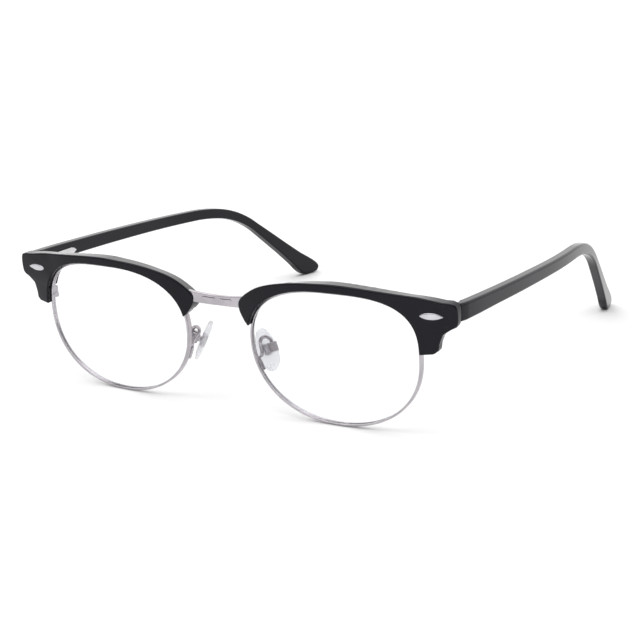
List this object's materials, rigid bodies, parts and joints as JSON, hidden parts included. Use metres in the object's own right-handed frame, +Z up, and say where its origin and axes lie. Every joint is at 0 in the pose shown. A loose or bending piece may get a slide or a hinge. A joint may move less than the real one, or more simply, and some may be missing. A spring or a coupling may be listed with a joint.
{
  "type": "half rim browline eyeglasses",
  "caption": "Browline eyeglasses: acetate brows over thin metal eyewires with clear lenses, arched metal bridge, rocking nose pads on looped arms and folding temples.",
  "frame": {"origin": "centre of the bounding box's base; the eyewires and both temple tips rest on Z = 0 with the temples open", "axes": "+X towards the wearer's left, +Y backwards along the temples, +Z up; the front faces -Y"},
  "size_m": [0.1412, 0.1504, 0.0391],
  "materials": {
    "acetate": "polished near-black cellulose acetate",
    "metal": "satin silver-grey plated nickel alloy",
    "screw_metal": "bright steel screws",
    "rivet_metal": "polished bright plate",
    "hinge_metal": "bright nickel silver hinge leaves",
    "core_wire": "flat wire inside the temple",
    "silicone": "clear soft silicone",
    "clear_lens": "clear uncoated lens plastic"
  },
  "bodies": {
    "front": {"bridge": "metal", "rim_left": "metal", "rim_right": "metal", "lock_block_left": "metal", "lock_block_right": "metal", "lock_screw_left": "screw_metal", "lock_screw_right": "screw_metal", "lens_left": "clear_lens", "lens_right": "clear_lens", "brow_left": "acetate", "brow_right": "acetate", "brow_rivet_left": "rivet_metal", "brow_rivet_right": "rivet_metal", "brow_tab_left": "metal", "brow_tab_right": "metal", "brow_screw_left": "screw_metal", "brow_screw_right": "screw_metal", "pad_arm_left": "metal", "pad_arm_right": "metal", "pad_box_left": "metal", "pad_box_right": "metal", "pad_screw_left": "screw_metal", "pad_screw_right": "screw_metal", "hinge_front_left": "hinge_metal", "hinge_front_right": "hinge_metal", "hinge_screw_left": "screw_metal", "hinge_screw_right": "screw_metal"},
    "temple_arm_left": {"temple_left": "acetate", "temple_core_left": "core_wire", "hinge_temple_left": "hinge_metal"},
    "temple_arm_right": {"temple_right": "acetate", "temple_core_right": "core_wire", "hinge_temple_right": "hinge_metal"},
    "nose_rest_left": {"nose_pad_left": "silicone", "pad_insert_left": "metal"},
    "nose_rest_right": {"nose_pad_right": "silicone", "pad_insert_right": "metal"}
  },
  "joints": [
    {"name": "temple_fold_left", "type": "hinge", "parent": "front", "child": "temple_arm_left", "pos_m": [0.0652, -0.06577, 0.03353], "axis": [0, 0, 1], "range_deg": [0, 87]},
    {"name": "temple_fold_right", "type": "hinge", "parent": "front", "child": "temple_arm_right", "pos_m": [-0.0652, -0.06577, 0.03353], "axis": [0, 0, -1], "range_deg": [0, 81]},
    {"name": "pad_rock_left", "type": "hinge", "parent": "front", "child": "nose_rest_left", "pos_m": [0.01228, -0.06551, 0.01707], "axis": [0.4639, 0.8815, 0.0876], "range_deg": [-12, 12]},
    {"name": "pad_rock_right", "type": "hinge", "parent": "front", "child": "nose_rest_right", "pos_m": [-0.01228, -0.06551, 0.01707], "axis": [0.4639, -0.8815, -0.0876], "range_deg": [-12, 12]}
  ]
}
